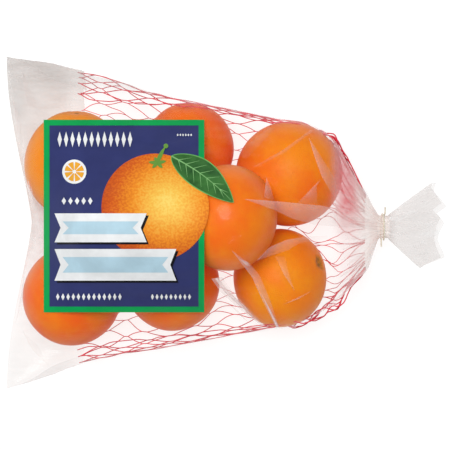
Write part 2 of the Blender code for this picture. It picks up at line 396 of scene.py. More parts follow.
class Shader:
    """One material under construction."""

    def __init__(self, name):
        self.material = bpy.data.materials.new(name)
        self.material.use_nodes = True
        self.tree = self.material.node_tree
        self.tree.nodes.clear()

    def node(self, kind, settings=None, inputs=None, output=0):
        """Adds a node, sets its settings and then its sockets, and returns one of its outputs."""
        made = self.tree.nodes.new(kind)
        for key, value in (settings or {}).items():
            if key == "stops":
                self.set_stops(made.color_ramp, value)
            else:
                setattr(made, key, value)
        for key, value in (inputs or {}).items():
            if isinstance(value, Link):
                self.tree.links.new(value.socket, made.inputs[key])
            elif isinstance(value, (tuple, list)) and len(made.inputs[key].default_value) == 4:
                made.inputs[key].default_value = (*value, 1.0)[:4]
            else:
                made.inputs[key].default_value = value
        return Link(self, made.outputs[output]) if made.outputs else None

    def set_stops(self, ramp, stops):
        """Gives a colour ramp its stops, as pairs of place and colour."""
        while len(ramp.elements) < len(stops):
            ramp.elements.new(0.5)
        for element, (place, colour) in zip(ramp.elements, stops):
            element.position = place
            element.color = (*colour, 1.0)

    def place(self):
        """Where a point is, in metres."""
        return self.node("ShaderNodeTexCoord", output="Object")

    def attribute(self, name):
        """A number stored on the mesh."""
        settings = {"attribute_type": "GEOMETRY", "attribute_name": name}
        return self.node("ShaderNodeAttribute", settings, output="Fac")

    def clouds(self, size, detail=2.0, roughness=0.5, stretch=1.0):
        """Soft noise with features of a size in metres, longer along the bag for a small stretch."""
        settings = {"operation": "MULTIPLY"}
        place = self.node("ShaderNodeVectorMath", settings, {0: self.place(), 1: (stretch, 1.0, 1.0)})
        inputs = {"Vector": place, "Scale": 1 / size, "Detail": detail, "Roughness": roughness}
        return self.node("ShaderNodeTexNoise", {}, inputs)

    def pits(self, size):
        """Distance from the middle of small round cells, 0 in the middle of each."""
        inputs = {"Vector": self.place(), "Scale": 1 / size}
        return self.node("ShaderNodeTexVoronoi", {"feature": "F1"}, inputs)

    def blend(self, share, first, second):
        """A colour between two others."""
        inputs = {0: share, 6: first, 7: second}
        return self.node("ShaderNodeMix", {"data_type": "RGBA"}, inputs, output=2)

    def bump(self, height, distance, strength=1.0, normal=None):
        inputs = {"Height": height, "Distance": distance, "Strength": strength}
        if normal is not None:
            inputs["Normal"] = normal
        return self.node("ShaderNodeBump", {}, inputs)

    def surface(self, inputs):
        return self.node("ShaderNodeBsdfPrincipled", {}, inputs)

    def finish(self, surface):
        """Shows a surface, and returns the material."""
        self.node("ShaderNodeOutputMaterial", {}, {"Surface": surface})
        return self.material


# ---------------------------------------------------------------- shared geometry


def ease(value):
    """0 to 1 with a soft start and a soft end."""
    value = np.clip(value, 0.0, 1.0)
    return value * value * (3 - 2 * value)


def mix(a, b, share):
    return a + (b - a) * share


def add_piece(name, points, faces, material, smooth=True):
    """Makes a mesh object that rides on the bag and takes its finish from a slot."""
    mesh = bpy.data.meshes.new(name)
    mesh.from_pydata([tuple(point) for point in points], [], [tuple(face) for face in faces])
    mesh.update()
    if smooth:
        mesh.shade_smooth()
    mesh.materials.append(material)
    piece = bpy.data.objects.new(name, mesh)
    bpy.context.scene.collection.objects.link(piece)
    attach(piece, "root")
    return piece


def store(piece, name, values):
    """Stores one number for each vertex of a piece."""
    attribute = piece.data.attributes.new(name, "FLOAT", "POINT")
    attribute.data.foreach_set("value", np.asarray(values, np.float32))


def grid_faces(rows, columns, closed=False, first=0):
    """Quads over a grid of points, closed round in the second direction or not."""
    faces = []
    for i in range(rows - 1):
        for j in range(columns if closed else columns - 1):
            k = (j + 1) % columns
            a = first + i * columns
            b = a + columns
            faces.append((a + j, a + k, b + k, b + j))
    return faces


def grid_normals(points):
    """Unit normals of a grid of points, open in both directions."""
    along = np.gradient(points, axis=0)
    across = np.gradient(points, axis=1)
    normals = np.cross(along, across)
    return normals / np.maximum(np.linalg.norm(normals, axis=2, keepdims=True), 1e-12)


def thread_mesh(routes, normals, radii, sides):
    """Round threads along several routes, as points and faces. Each point has a normal and a radius."""
    points, faces = [], []
    angles = np.arange(sides) * math.tau / sides
    for route, normal, radius in zip(routes, normals, radii):
        ahead = np.gradient(route, axis=0)
        ahead /= np.maximum(np.linalg.norm(ahead, axis=1, keepdims=True), 1e-12)
        side = np.cross(ahead, normal)
        side /= np.maximum(np.linalg.norm(side, axis=1, keepdims=True), 1e-12)
        out = np.cross(side, ahead)
        cosines, sines = np.cos(angles)[None, :, None], np.sin(angles)[None, :, None]
        circle = out[:, None] * cosines + side[:, None] * sines
        thread = route[:, None] + radius[:, None, None] * circle
        first = len(points)
        points.extend(thread.reshape(-1, 3))
        faces.extend(grid_faces(len(route), sides, closed=True, first=first))
        faces.append(tuple(first + k for k in range(sides)))
        last = first + (len(route) - 1) * sides
        faces.append(tuple(last + k for k in reversed(range(sides))))
    return points, faces


# ---------------------------------------------------------------- fruit


def peel_relief(way, stem, shift):
    """For one direction from an orange's centre: how far out the peel lies, as a share, and its scar."""
    lump = 0.5 - 0.5 * noise.noise(way * 1.4 + shift)
    ripple = 0.5 - 0.5 * noise.noise(way * 5.0 + shift)
    out = 1.0 - LUMP_DEPTH * lump - RIPPLE_DEPTH * ripple
    across = stem.orthogonal().normalized()
    turn = math.atan2(way.dot(stem.cross(across)), way.dot(across))
    from_stem = way.angle(stem)
    dimple = math.exp(-((from_stem / STEM_DIMPLE_WIDTH) ** 2))
    grooves = 0.5 + 0.5 * math.cos(STEM_GROOVES * turn + 2.0 * noise.noise(way * 3.0 + shift))
    near = math.exp(-(((from_stem - 0.2) / 0.11) ** 2))
    button = max(0.0, 1.0 - (from_stem / (STEM_BUTTON_WIDTH * (0.85 + 0.25 * math.cos(5 * turn)))) ** 4)
    out += STEM_BUTTON_RISE * button - STEM_DIMPLE * dimple - STEM_GROOVE_DEPTH * grooves * near
    from_navel = math.pi - from_stem
    ragged = NAVEL_WIDTH * (1 + 0.35 * noise.noise(way * 9.0 + shift))
    rim = math.exp(-(((from_navel - ragged) / 0.05) ** 2))
    pit = math.exp(-((from_navel / (0.55 * ragged)) ** 2))
    out += NAVEL_RIM_RISE * (rim - 1) * math.exp(-((from_navel / 0.4) ** 2)) - NAVEL_PIT * pit
    navel = float(ease(1.4 - from_navel / ragged * 1.1)) * (0.75 + 0.5 * noise.noise(way * 24.0 + shift))
    return out, max(button, navel, 0.0)


def orange_mesh(centre, half_sizes, stem, shift):
    """Points, faces and scars of one orange."""
    ball = bmesh.new()
    bmesh.ops.create_icosphere(ball, subdivisions=PEEL_SUBDIVISIONS, radius=1.0)
    points, scars = [], []
    for vertex in ball.verts:
        way = vertex.co.normalized()
        out, scar = peel_relief(way, stem, shift)
        points.append([centre[k] + half_sizes[k] * way[k] * out for k in range(3)])
        scars.append(scar)
    faces = [[vertex.index for vertex in face.verts] for face in ball.faces]
    ball.free()
    return points, faces, scars


def peel_material(name, settings, ripeness):
    """Waxed orange peel with oil pores, blotches, a brown scar, and painted shade towards its outline."""
    shader = Shader(name)
    ripe = Vector(settings.ripe)
    sunny = Vector(settings.sunny)
    light = tuple(sunny.lerp(ripe, max(0.0, ripeness - 0.22)))
    dark = tuple(sunny.lerp(ripe, min(1.0, ripeness + 0.28)))
    blotches = shader.clouds(0.035, detail=4.0, roughness=0.6).between(0.32, 0.68)
    pits = shader.pits(settings.pore_spacing)
    freckles = shader.clouds(0.0022, detail=1.0).between(0.35, 0.75)
    flesh = shader.blend(blotches, light, dark)
    flesh = shader.blend(freckles * 0.10, flesh, tuple(0.82 * part for part in dark))
    flesh = shader.blend((1 - pits.between(0.0, 0.45)) * 0.13, flesh, tuple(0.72 * part for part in dark))
    # painted shade: the peel gets darker and redder where it is seen edge on, at its outline
    edge_on = shader.node("ShaderNodeLayerWeight", {}, {"Blend": 0.5}, output="Facing")
    flesh = shader.blend(0.42 * edge_on ** 2.0, flesh, (0.62 * dark[0], 0.52 * dark[1], dark[2]))
    scar = shader.attribute("scar").clamped()
    mottled = shader.blend(shader.clouds(0.003, detail=2.0), tuple(settings.scar), (0.33, 0.20, 0.045))
    colour = shader.blend(scar, flesh, mottled)
    pores = shader.bump(pits.between(0.0, 0.5), settings.pore_depth, 0.7)
    surface = shader.surface({
        "Base Color": colour,
        "Roughness": settings.roughness + 0.3 * scar + 0.06 * freckles,
        "Normal": pores,
        "Specular IOR Level": 0.15,
    })
    return shader.finish(surface)


class ORANGEBAG_OT_fruit(bpy.types.Operator):
    """Add the eight oranges"""

    bl_idname = "orangebag.fruit"
    bl_label = "Oranges"

    def execute(self, context):
        settings = context.scene.orange_fruit
        for number, (name, (centre, half_sizes, stem, ripeness)) in enumerate(ORANGES.items()):
            shift = Vector((3.7 * number, 1.3 * number, 0.0))
            points, faces, scars = orange_mesh(centre, half_sizes, Vector(stem).normalized(), shift)
            material = peel_material("peel_" + name, settings, ripeness)
            orange = add_piece("orange_" + name, points, faces, material)
            store(orange, "scar", scars)
        return {"FINISHED"}


# ---------------------------------------------------------------- film


def tight_wrap():
    """The convex hull of the fruit, the slack film, the neck and the seal's corners."""
    wrap = bmesh.new()
    for centre, half_sizes in [*zip(CENTRES, HALF_SIZES), SLACK_BALL]:
        ball = bmesh.new()
        bmesh.ops.create_uvsphere(ball, u_segments=HULL_SEGMENTS, v_segments=HULL_SEGMENTS // 2, radius=1.0)
        for vertex in ball.verts:
            wrap.verts.new([centre[k] + half_sizes[k] * vertex.co[k] for k in range(3)])
        ball.free()
    for step in range(HULL_SEGMENTS):
        angle = math.tau * step / HULL_SEGMENTS
        y = NECK_Y + NECK_RADIUS * math.cos(angle)
        z = NECK_HEIGHT + NECK_RADIUS * math.sin(angle)
        wrap.verts.new((NECK_X - NECK_HALF_LENGTH, y, z))
    for side in (-1, 1):
        for edge in (-0.5, 0.5):
            wrap.verts.new((CORNER_X, side * CORNER_Y, CORNER_HEIGHT + edge * SEAL_THICKNESS))
    for point in SLACK_EDGE:
        wrap.verts.new(point)
    bmesh.ops.convex_hull(wrap, input=wrap.verts)
    tree = BVHTree.FromBMesh(wrap)
    wrap.free()
    return tree


def section_axis(x):
    """The middle of the bag's section at x, and how wide the section is for its height."""
    to_neck = float(ease((x - SHOULDER_X) / (NECK_X - SHOULDER_X)))
    to_seal = float(ease((SEAL_REACH_X - x) / (SEAL_REACH_X - CORNER_X)))
    height = mix(mix(0.045, CORNER_HEIGHT, to_seal), NECK_HEIGHT, to_neck)
    spread = mix(mix(1.7, 9.0, to_seal), 1.0, to_neck)
    return Vector((x, mix(0.0, NECK_Y, to_neck), height)), spread


def ring_angles():
    return math.tau * (np.arange(RING_POINTS) + 0.5) / RING_POINTS


def seal_bow(y):
    """1 at the seal's corners and 0 in its middle."""
    share = np.minimum(1.0, np.abs(y) / CORNER_Y)
    return np.sin(share * math.pi / 2) ** SEAL_CURVE_POWER


def seal_ring():
    """The seal: a flat edge, curved in its own plane, with a top and an underside."""
    angles = ring_angles()
    y = CORNER_Y * np.cos(angles) / math.cos(math.pi / RING_POINTS)
    bow = seal_bow(y)
    x = CORNER_X + SEAL_DRAW_IN * (1 - bow)
    z = mix(SEAL_MIDDLE_HEIGHT, CORNER_HEIGHT, bow) + 0.5 * SEAL_THICKNESS * np.sign(np.sin(angles))
    return np.stack([x, y, z], axis=1)


def body_stations():
    """Places along the bag, closer together near the seal and the neck."""
    share = np.linspace(0.0, 1.0, BODY_STATIONS)
    bunched = share - 0.09 * np.sin(math.tau * share)
    return mix(CORNER_X + 0.003, NECK_X - NECK_HALF_LENGTH, bunched)


def wrapped_ring(tree, x):
    """One ring of points on the tight wrap, drawn in with the seal."""
    middle, spread = section_axis(x)
    ring = []
    for angle in ring_angles():
        way = Vector((0.0, spread * math.cos(angle), math.sin(angle))).normalized()
        hit = tree.ray_cast(middle + way, -way)[0]
        ring.append(hit if hit is not None else middle)
    ring = np.array(ring)
    inward = 1 - seal_bow(ring[:, 1])
    near = max(0.0, (SEAL_REACH_X - x) / (SEAL_REACH_X - CORNER_X))
    ring[:, 0] += SEAL_DRAW_IN * inward * near
    ring[:, 2] += (SEAL_MIDDLE_HEIGHT - CORNER_HEIGHT) * inward * near * near
    return ring


def push_off_fruit(points):
    """Moves points of the film out of any orange that they lie in, and up to the floor."""
    for centre, half_sizes in zip(CENTRES, HALF_SIZES):
        away = points - centre
        inside = np.sqrt((((away / (half_sizes + FILM_GAP)) ** 2).sum(axis=-1)))
        scale = np.where((inside > 0) & (inside < 1), 1 / np.maximum(inside, 1e-6), 1.0)
        points = centre + away * scale[..., None]
    points[..., 2] = np.maximum(points[..., 2], 0.0)
    return points


def relax(rings):
    """Smooths the film between the fruit, and keeps it outside the fruit and flat on the floor."""
    flat = rings[1:-1, :, 2] < FLAT_BELOW
    middle_x = rings[1:-1, :, 0].mean(axis=1)
    give = mix(0.06, 0.5, ease((middle_x - CORNER_X - 0.010) / 0.050))[:, None, None]
    y = rings[1:-1, :, 1]
    at_side = ease((y / y.max(axis=1, keepdims=True) - 0.90) / 0.06)
    edge = at_side * ease((-0.060 - middle_x) / 0.025)[:, None]
    give = give * (1 - 0.995 * edge[..., None])
    for _ in range(SMOOTHING_PASSES):
        around = rings[:-2] + rings[2:]
        around = around + np.roll(rings[1:-1], 1, axis=1) + np.roll(rings[1:-1], -1, axis=1)
        inner = push_off_fruit(mix(rings[1:-1], around / 4, give))
        inner[..., 2] = np.where(flat, 0.0, inner[..., 2])
        rings = np.concatenate([rings[:1], inner, rings[-1:]])
    return rings


def pleat_wave(pleats):
    """Sharp folds at uneven places round a ring: 0 on a ridge and 1 in a valley."""
    knots = np.arange(2 * pleats + 1) / (2 * pleats)
    uneven = np.array([noise.noise(Vector((5.1 * k, 2.0, 4.0))) for k in range(2 * pleats)])
    places = knots[:-1] + 0.9 * uneven / (2 * pleats)
    places = np.concatenate([places, [places[0] + 1]]) * math.tau
    depths = np.array([0.12 * abs(noise.noise(Vector((3.3 * k, 7.0, 1.0)))) for k in range(2 * pleats)])
    values = np.where(np.arange(2 * pleats) % 2 == 0, 0.0 + depths, 1.0 - 2 * depths)
    values = np.concatenate([values, values[:1]])
    return np.interp(ring_angles(), places, values, period=math.tau)


def pleat_reach():
    """For each place round a ring, how far from the neck its pleats begin, from 0 to 1."""
    return np.array([
        0.5 + 0.5 * noise.noise(Vector((3.1 * math.cos(a), 3.1 * math.sin(a), 9.0))) for a in ring_angles()
    ])


def pressed_in(rings, depth):
    """Moves each point towards the middle of its ring by a depth, or away from it when that is negative."""
    middle = rings.mean(axis=1, keepdims=True)
    away = rings - middle
    away[..., 0] = 0.0
    length = np.maximum(np.linalg.norm(away, axis=2), 1e-6)
    return rings - away * np.minimum(0.6, depth / length)[..., None]


def crinkle_field(rings, height):
    """Small sharp crinkles, only where the film touches neither fruit nor floor."""
    free = np.full(rings.shape[:2], 1.0)
    for centre, half_sizes in zip(CENTRES, HALF_SIZES):
        gap = np.sqrt((((rings - centre) / (half_sizes + FILM_GAP)) ** 2).sum(axis=-1)) - 1
        free = np.minimum(free, gap / 0.12)
    free = np.minimum(free, rings[..., 2] / 0.004)
    free = ease(free)
    waves = np.zeros(rings.shape[:2])
    for i in range(rings.shape[0]):
        for j in range(rings.shape[1]):
            x, y, z = rings[i, j]
            ridge = noise.noise(Vector((38 * x, 75 * y, 75 * z)))
            crease = noise.noise(Vector((110 * x + 5, 160 * y, 160 * z)))
            waves[i, j] = (1 - 2.4 * abs(ridge)) * 0.75 + (1 - 2.4 * abs(crease)) * 0.25
    return height * free * waves


def body_rings(settings):
    """The filled part of the bag, from the seal to the front of the tie."""
    tree = tight_wrap()
    rings = np.stack([seal_ring(), *[wrapped_ring(tree, x) for x in body_stations()]])
    rings = relax(push_off_fruit(rings))
    gather = (rings[:, :, 0].mean(axis=1) - SHOULDER_X) / (NECK_X - SHOULDER_X)
    start = 0.75 * pleat_reach()
    grown = ease((gather[:, None] - start[None, :]) / (1 - start[None, :]))
    depth = settings.pleat_depth * grown * (1 - 0.62 * ease(gather)[:, None])
    rings = pressed_in(rings, depth * pleat_wave(settings.pleats)[None, :])
    return rings


def crinkled(rings, settings):
    """The body's rings with the small crinkles of slack film."""
    away = rings - rings.mean(axis=1, keepdims=True)
    away[..., 0] = 0.0
    away /= np.maximum(np.linalg.norm(away, axis=2, keepdims=True), 1e-6)
    return rings + away * crinkle_field(rings, settings.crinkle)[..., None]


def tail_reach(across, under):
    """How far the cut edge of the tail reaches at places across it. The two layers don't line up."""
    places, reaches = zip(*TAIL_EDGE)
    upper = np.interp(across, places, reaches)
    lower = np.interp(0.90 * across - 0.06, places, reaches) - 0.0015
    return np.where(under, lower, upper)


def tail_rings(settings):
    """The neck under the tie, and the film that fans out behind it to a zigzag edge."""
    angles = ring_angles()
    wave = pleat_wave(settings.pleats)
    wide_wave = pleat_wave(settings.tail_pleats)
    straight = NECK_X + NECK_HALF_LENGTH
    rings = []
    for x in (NECK_X, straight):
        radius = NECK_RADIUS - NECK_PLEAT_DEPTH * wave
        y = NECK_Y + radius * np.cos(angles)
        z = NECK_HEIGHT + radius * np.sin(angles)
        rings.append(np.stack([np.full(RING_POINTS, x), y, z], axis=1))
    across = np.cos(angles)
    under = np.sin(angles) < 0
    flutter = np.array([noise.noise(Vector((1.6 * a, 3.0 * b, 15.0))) for a, b in zip(across, under)])
    reach = tail_reach(across, under)
    for station in range(1, TAIL_STATIONS + 1):
        share = station / TAIL_STATIONS
        half_width = mix(NECK_RADIUS, TAIL_HALF_WIDTH, share ** 0.95)
        half_height = mix(NECK_RADIUS, TAIL_HALF_HEIGHT, float(ease(share * 1.5)))
        height = mix(NECK_HEIGHT, TAIL_END_HEIGHT, float(ease(share)))
        opened = float(ease(2.5 * share))
        pleat = mix(NECK_PLEAT_DEPTH, 0.0004, opened) * (0.5 - wave)
        pleat += mix(0.0, TAIL_PLEAT_DEPTH, opened * share) * (0.5 - wide_wave)
        fan = pleat * np.where(under, -1.0, 1.0)
        # the tail is pressed flat, so its sides come to corners
        spread_out = np.sign(across) * np.abs(across) ** mix(1.0, 0.75, opened)
        y = NECK_Y + TAIL_SHIFT * share + half_width * spread_out
        z = height + half_height * np.sin(angles) + fan + 0.0045 * share * flutter
        rings.append(np.stack([mix(straight, reach, share), y, np.maximum(z, 0.0006)], axis=1))
    return np.stack(rings)


def slack(rings):
    """How far the film and net stand off at the two sides of the shoulder, where no fruit fills them."""
    x, y = rings[..., 0], rings[..., 1]
    share = y / np.maximum(np.abs(y).max(axis=1), 1e-6)[:, None]
    near = np.interp(x, SLACK_X, NEAR_SLACK) * ease((-share - 0.35) / 0.5)
    far = np.interp(x, SLACK_X, FAR_SLACK) * ease((share - 0.35) / 0.5)
    return near + far


# What the film's mesh stores for its material.
FILM_LOOKS = ("cover", "white", "rosy", "pale")


def film_cover(rings, haze):
    """For each point of the film: the share that it hides, and how white, rosy and pale its haze is."""
    x, y, z = (rings[..., axis] for axis in range(3))
    places = rings * (22, 22, 30)
    soft = 1 + 0.3 * np.array([[noise.noise(Vector(place)) for place in row] for row in places])
    back = np.where(np.sin(ring_angles()) < 0, 1.0, 0.02)[None, :]
    # the loose film past the far side's fruit lies double and low
    past_fruit = 0.85 * ease((y - 0.074) / 0.014) * ease((-0.035 - x) / 0.050) * ease((0.048 - z) / 0.018)
    to_seal = np.maximum(back * ease((SEAL_HAZE_X - x) / 0.035), 0.8 * past_fruit)
    # the share grows towards the far side: painted shade on top of the double film's own haze
    to_seal *= mix(SEAL_HAZE_NEAR, SEAL_HAZE_AND_SHADE_FAR, ease((y + 0.075) / 0.10))
    in_tail = x > NECK_X + NECK_HALF_LENGTH
    to_neck = ease((x - GATHER_HAZE_X) / (NECK_X - GATHER_HAZE_X)) * np.where(in_tail, 0.0, NECK_HAZE)
    to_neck *= np.where(back > 0.5, ease((x - WINDOW_NECK_X) / 0.012), 1.0)
    tail = np.where(in_tail, mix(NECK_HAZE, TAIL_HAZE, ease((x - NECK_X) / 0.012)), 0.0)
    # the red net tints the film that gathers over it, most on the far side
    rosy = ease((x - 0.078) / 0.012) * ease((0.113 - x) / 0.016) * mix(0.15, 1.0, ease((y + 0.020) / 0.036))
    pale = np.where(in_tail, 0.0, ease((x - 0.092) / 0.020))
    cover = haze + (to_seal + to_neck + tail) * soft + ROSE_HAZE * rosy
    white = np.where(in_tail, 0.15, ease((x - 0.040) / 0.030))
    return np.clip(cover, 0.0, 0.9), np.clip(white, 0.0, 1.0), rosy, pale


def window_faces(rings):
    """True for each quad that the net's window takes out of the film."""
    angles = ring_angles()
    under = (angles > math.pi - FILM_EDGE_ANGLE) & (angles < math.tau + FILM_EDGE_ANGLE)
    x = rings[..., 0]
    return under[None, :] & (x > WINDOW_SEAL_X) & (x < WINDOW_NECK_X)


class Fold:
    """A flat fold of film that lies on the bag, between two edges seen from above, in millimetres.

    Both edges run from the fold's tip. Cover is the share that its left edge hides, fade how much of that
    is left at its right edge, end how much is left at its wide end, and rise how far it stands proud.
    """

    def __init__(self, left, right, cover, rise=0.5, fade=0.35, end=0.35):
        self.left = np.array(left) / 1000
        self.right = np.array(right) / 1000
        self.cover = cover
        self.rise = rise / 1000
        self.fade = fade
        self.end = end

    def hides(self, share, side):
        """The share that the fold hides at a place along it and across it."""
        return self.cover * mix(1.0, self.fade, side) * mix(1.0, self.end, float(ease((share - 0.5) / 0.5)))

    def edge(self, points, share):
        """A point at a share of an edge's length."""
        steps = np.linalg.norm(np.diff(points, axis=0), axis=1)
        length = np.concatenate([[0.0], np.cumsum(steps)])
        along = share * length[-1]
        return np.array([np.interp(along, length, points[:, k]) for k in (0, 1)])


FOLDS = (
    # the long fold from the crown to the neck
    Fold(((13, 17), (39, 15.5), (74, 12.5), (98, 5), (118, 0)),
         ((13, 17), (36, 9), (50, 2.5), (67, -2), (97, -4), (118, -6)), 0.30, 1.0, 0.55, 0.9),
    # the far shoulder orange: a small point, a long wedge, a triangle and two soft bands
    Fold(((30, 33.5), (29, 26), (28, 18.5)), ((30, 33.5), (33.5, 25), (35.5, 16.5)), 0.26),
    Fold(((63, 64.5), (67, 50), (72.5, 35), (82.5, 19)),
         ((63, 64.5), (73.5, 48), (84.5, 31.5), (85, 19)), 0.28),
    Fold(((72, 33), (63, 24), (53.5, 14.5)), ((72, 33), (68.5, 27.5), (69, 13.5)), 0.24),
    Fold(((65, 71), (42, 54), (19.5, 41)), ((67, 70), (45, 53), (25, 42)), 0.13, 0.1),
    Fold(((33, 73), (9, 52)), ((37.5, 71.5), (15, 47)), 0.08, 0.1),
    # the near shoulder orange
    Fold(((22.5, -28.5), (32, -18.5), (45, -13), (61.5, -10.5), (77, -10)),
         ((22.5, -28.5), (33, -25), (46, -21), (55.5, -15.5), (77, -12.5)), 0.24),
    Fold(((52, -52), (44, -40), (36.5, -25.5)), ((52, -52), (47, -38), (44, -25.5)), 0.22),
    Fold(((42, -63), (54.5, -58.5), (67.5, -51)), ((42, -63), (54.5, -57), (67.5, -51)), 0.28),
    # the streak from under the crown to the near edge: milky folded film, with a bright core and a short
    # bright piece that are painted highlights
    Fold(((4, -20.5), (13, -32.5), (19.5, -41), (27.5, -59), (38.5, -81)),
         ((4, -20.5), (17, -30), (25, -39.5), (33.5, -59), (41, -81)), 0.30, 0.5, 0.45, 0.8),
    Fold(((27, -54.5), (32.5, -67), (39, -81)), ((27, -54.5), (34, -67), (41, -81)), 0.90, 0.3, 0.7, 1.0),
    Fold(((10, -27), (15, -32), (18, -32.5)), ((10, -27), (16, -29.5), (18, -32.5)), 0.70, 0.3, 0.6, 0.5),
    # the crumpled band in the hollow between the waist and the near shoulder: milky folds, and two bright
    # ones that are painted highlights
    Fold(((-11, -42), (-3, -53.5), (11, -66.5), (27.5, -79.5)),
         ((-3, -40.5), (4.5, -52), (17.5, -66), (30, -79.5)), 0.34, 1.4, 0.6, 1.0),
    Fold(((-8.5, -42), (-0.5, -53), (11, -64), (27, -78)),
         ((-6, -41), (2, -52), (13, -63.5), (27, -78)), 0.90, 1.8, 0.7, 1.0),
    Fold(((4, -54), (13, -64), (22.5, -74.5)),
         ((4, -54), (14.5, -63.5), (22.5, -74.5)), 0.85, 1.6, 0.7, 1.0),
    Fold(((1, -60), (9, -69), (19, -79)), ((1, -60), (10, -68), (19, -79)), 0.45, 1.0),
    # the sealed end: creases along the drawn-in edge
    Fold(((-169, 100.5), (-166.5, 87), (-163.5, 69), (-161, 57)),
         ((-169, 100.5), (-163.5, 89), (-159, 76), (-161, 57)), 0.26, 0.3),
    Fold(((-161, 122), (-156, 100), (-147, 74)),
         ((-161, 122), (-150, 100), (-142, 78)), 0.13, 0.3, 0.2, 0.3),
    Fold(((-158, -84), (-150, -98), (-138, -112)), ((-158, -84), (-145, -94), (-138, -112)), 0.10, 0.3),
    Fold(((-152, 33), (-153, 21.5), (-150.5, 6)), ((-152, 33), (-148, 24), (-149, 8)), 0.50, 0.4),
    Fold(((-157, -38), (-160, -56), (-165.5, -80)), ((-157, -38), (-156, -56), (-165.5, -80)), 0.30, 0.3),
)


def fold_grid(fold, surface, steps=30, across=7):
    """One fold's points, laid on the film with its middle raised, and the share that each hides."""
    points = np.zeros((steps, across, 3))
    hides = np.zeros((steps, across))
    for i in range(steps):
        share = i / (steps - 1)
        left, right = fold.edge(fold.left, share), fold.edge(fold.right, share)
        for j in range(across):
            side = j / (across - 1)
            flat = mix(left, right, side)
            hit = surface.ray_cast(Vector((*flat, 0.5)), Vector((0, 0, -1)))[0]
            height = hit.z if hit is not None else SEAL_MIDDLE_HEIGHT
            lift = fold.rise * math.sin(math.pi * side) * math.sin(math.pi * (0.1 + 0.85 * share))
            points[i, j] = (*flat, height + FOLD_GAP + lift)
            hides[i, j] = fold.hides(share, side)
    return points, hides


def gather_grid(rings, angle, start, width, steps=24, across=5):
    """The points of a narrow fold that runs from the neck up the shoulder, tapering at both ends."""
    middle_x = rings[..., 0].mean(axis=1)
    angles = ring_angles()
    points = np.zeros((steps, across, 3))
    for i in range(steps):
        share = i / (steps - 1)
        x = mix(NECK_X - NECK_HALF_LENGTH, start, share)
        row = np.array([
            [np.interp(x, middle_x, rings[:, k, axis]) for axis in range(3)] for k in range(RING_POINTS)
        ])
        middle = row.mean(axis=0)
        for j in range(across):
            side = j / (across - 1)
            place = angle + width * (side - 0.5) * math.sin(math.pi * share) ** 0.7
            point = np.array([np.interp(place, angles, row[:, axis], period=math.tau) for axis in range(3)])
            away = point - middle
            away[0] = 0.0
            away /= max(np.linalg.norm(away), 1e-6)
            points[i, j] = point + away * (FOLD_GAP + 0.0007 * math.sin(math.pi * side))
    return points


def gathers():
    """Where the narrow folds of the shoulder run: angle, start, width and cover, unevenly spread."""
    for n in range(GATHERS):
        chance = [0.5 + 0.5 * noise.noise(Vector((4.7 * n, 3.1 * k, 8.0))) for k in range(4)]
        angle = math.radians(8 + 164 * (n + 0.8 * chance[0]) / GATHERS)
        cover = mix(0.04, 0.34, chance[3] ** 2)
        yield angle, mix(0.072, 0.104, chance[1]), math.radians(mix(3.0, 9.0, chance[2])), cover


def film_material(settings):
    """Thin clear film: hazy where it is gathered or folded, with painted glints in its haze, and glossy at
    a glance.
    """
    shader = Shader("clear_film")
    # streaks run along the bag
    streaks = shader.clouds(0.0045, detail=2.0, roughness=0.5, stretch=0.16).between(0.3, 0.75)
    # 0 where the film faces the eye and 1 where it is seen edge on
    edge_on = shader.node("ShaderNodeLayerWeight", {}, {"Blend": 0.5}, output="Facing")
    cover = shader.attribute("cover")
    white = shader.attribute("white")
    # painted glints: noise-placed flecks of whiter, thicker haze that stand in for highlights, where the
    # haze is partly white, as in the tail
    painted_glints = shader.clouds(0.0065, detail=2.0, roughness=0.5, stretch=0.20).between(0.56, 0.66)
    painted_glints = painted_glints * white.between(0.02, 0.12) * (1 - white)
    hidden = (cover * (0.84 + 0.24 * streaks + 1.1 * painted_glints) + 0.08 * edge_on ** 2.6).clamped()
    tint = shader.blend(white, tuple(settings.grey), tuple(settings.white))
    tint = shader.blend(0.85 * shader.attribute("rosy"), tint, tuple(settings.rose))
    tint = shader.blend(0.8 * shader.attribute("pale"), tint, tuple(settings.pale))
    wrinkles = shader.bump(shader.clouds(0.005, detail=2.0, roughness=0.5, stretch=0.35), 0.0008, 0.4)
    clear = shader.node("ShaderNodeBsdfTransparent", {}, {"Color": (0.990, 0.986, 0.982)})
    haze = shader.surface({
        "Base Color": shader.blend(0.8 * painted_glints, tint, (0.97, 0.97, 0.97)),
        "Roughness": 0.5,
        "Normal": wrinkles,
        "Specular IOR Level": 0.2,
    })
    gloss = shader.surface({
        "Base Color": (0.95, 0.95, 0.95),
        "Metallic": 1.0,
        "Roughness": settings.roughness,
        "Normal": wrinkles,
    })
    body = shader.node("ShaderNodeMixShader", {}, {0: hidden, 1: clear, 2: haze})
    shine = (GLOSS_HEAD_ON + (1 - GLOSS_HEAD_ON) * edge_on ** 5.0) * GLOSS_STRENGTH
    surface = shader.node("ShaderNodeMixShader", {}, {0: shine, 1: body, 2: gloss})
    return shader.finish(surface)


class Bag:
    """The film's rings, shared by the pieces that lie on them."""

    rings = None
    surface = None


